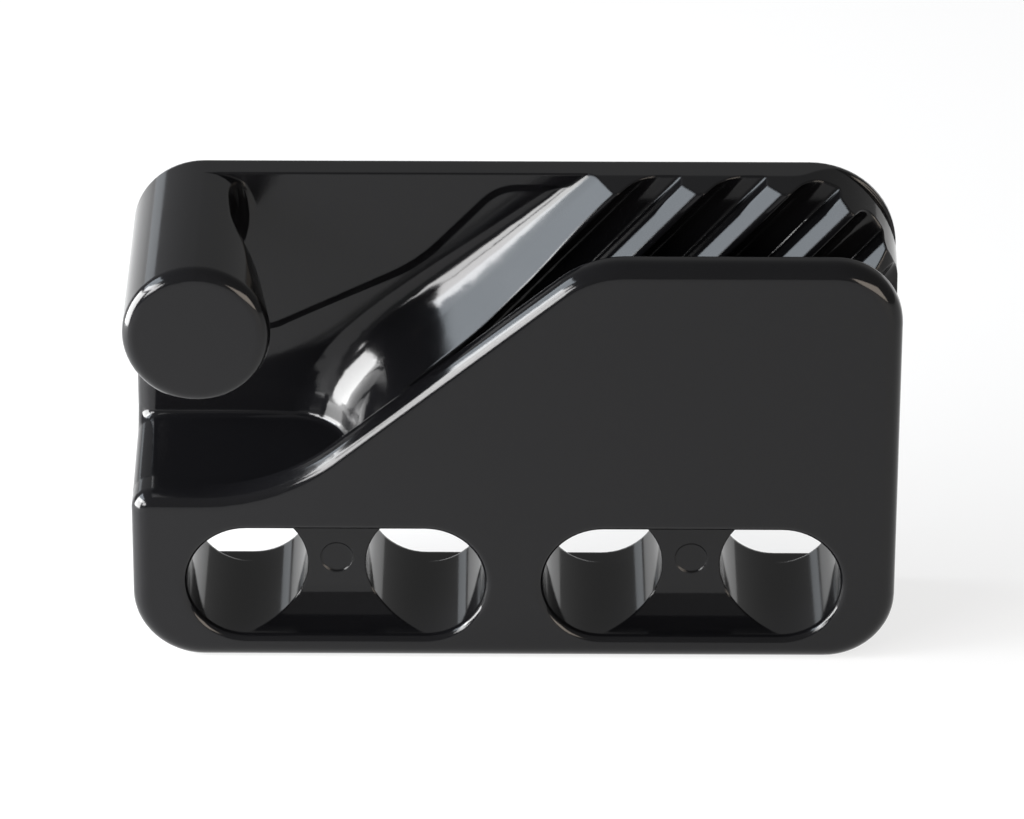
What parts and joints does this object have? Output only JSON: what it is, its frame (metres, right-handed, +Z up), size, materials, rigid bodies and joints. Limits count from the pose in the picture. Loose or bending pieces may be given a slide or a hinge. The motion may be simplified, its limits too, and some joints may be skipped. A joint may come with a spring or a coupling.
{
  "type": "jam cleat",
  "caption": "Side-entry jam cleat: a black moulded block with a slanted toothed V groove, a concave entry ramp, a round guard post and lashing holes along its base.",
  "frame": {"origin": "centre of the overall box in plan, at the bottom edge", "axes": "+X along the rope towards its tail end, +Y from the open front to the flat mounting face, +Z up across the lashing holes towards the teeth"},
  "size_m": [0.09, 0.0296, 0.0555],
  "materials": {
    "body_plastic": "glossy black injection-moulded plastic with faint flow marks"
  },
  "bodies": {
    "root": {"cleat_body": "body_plastic"}
  },
  "joints": []
}
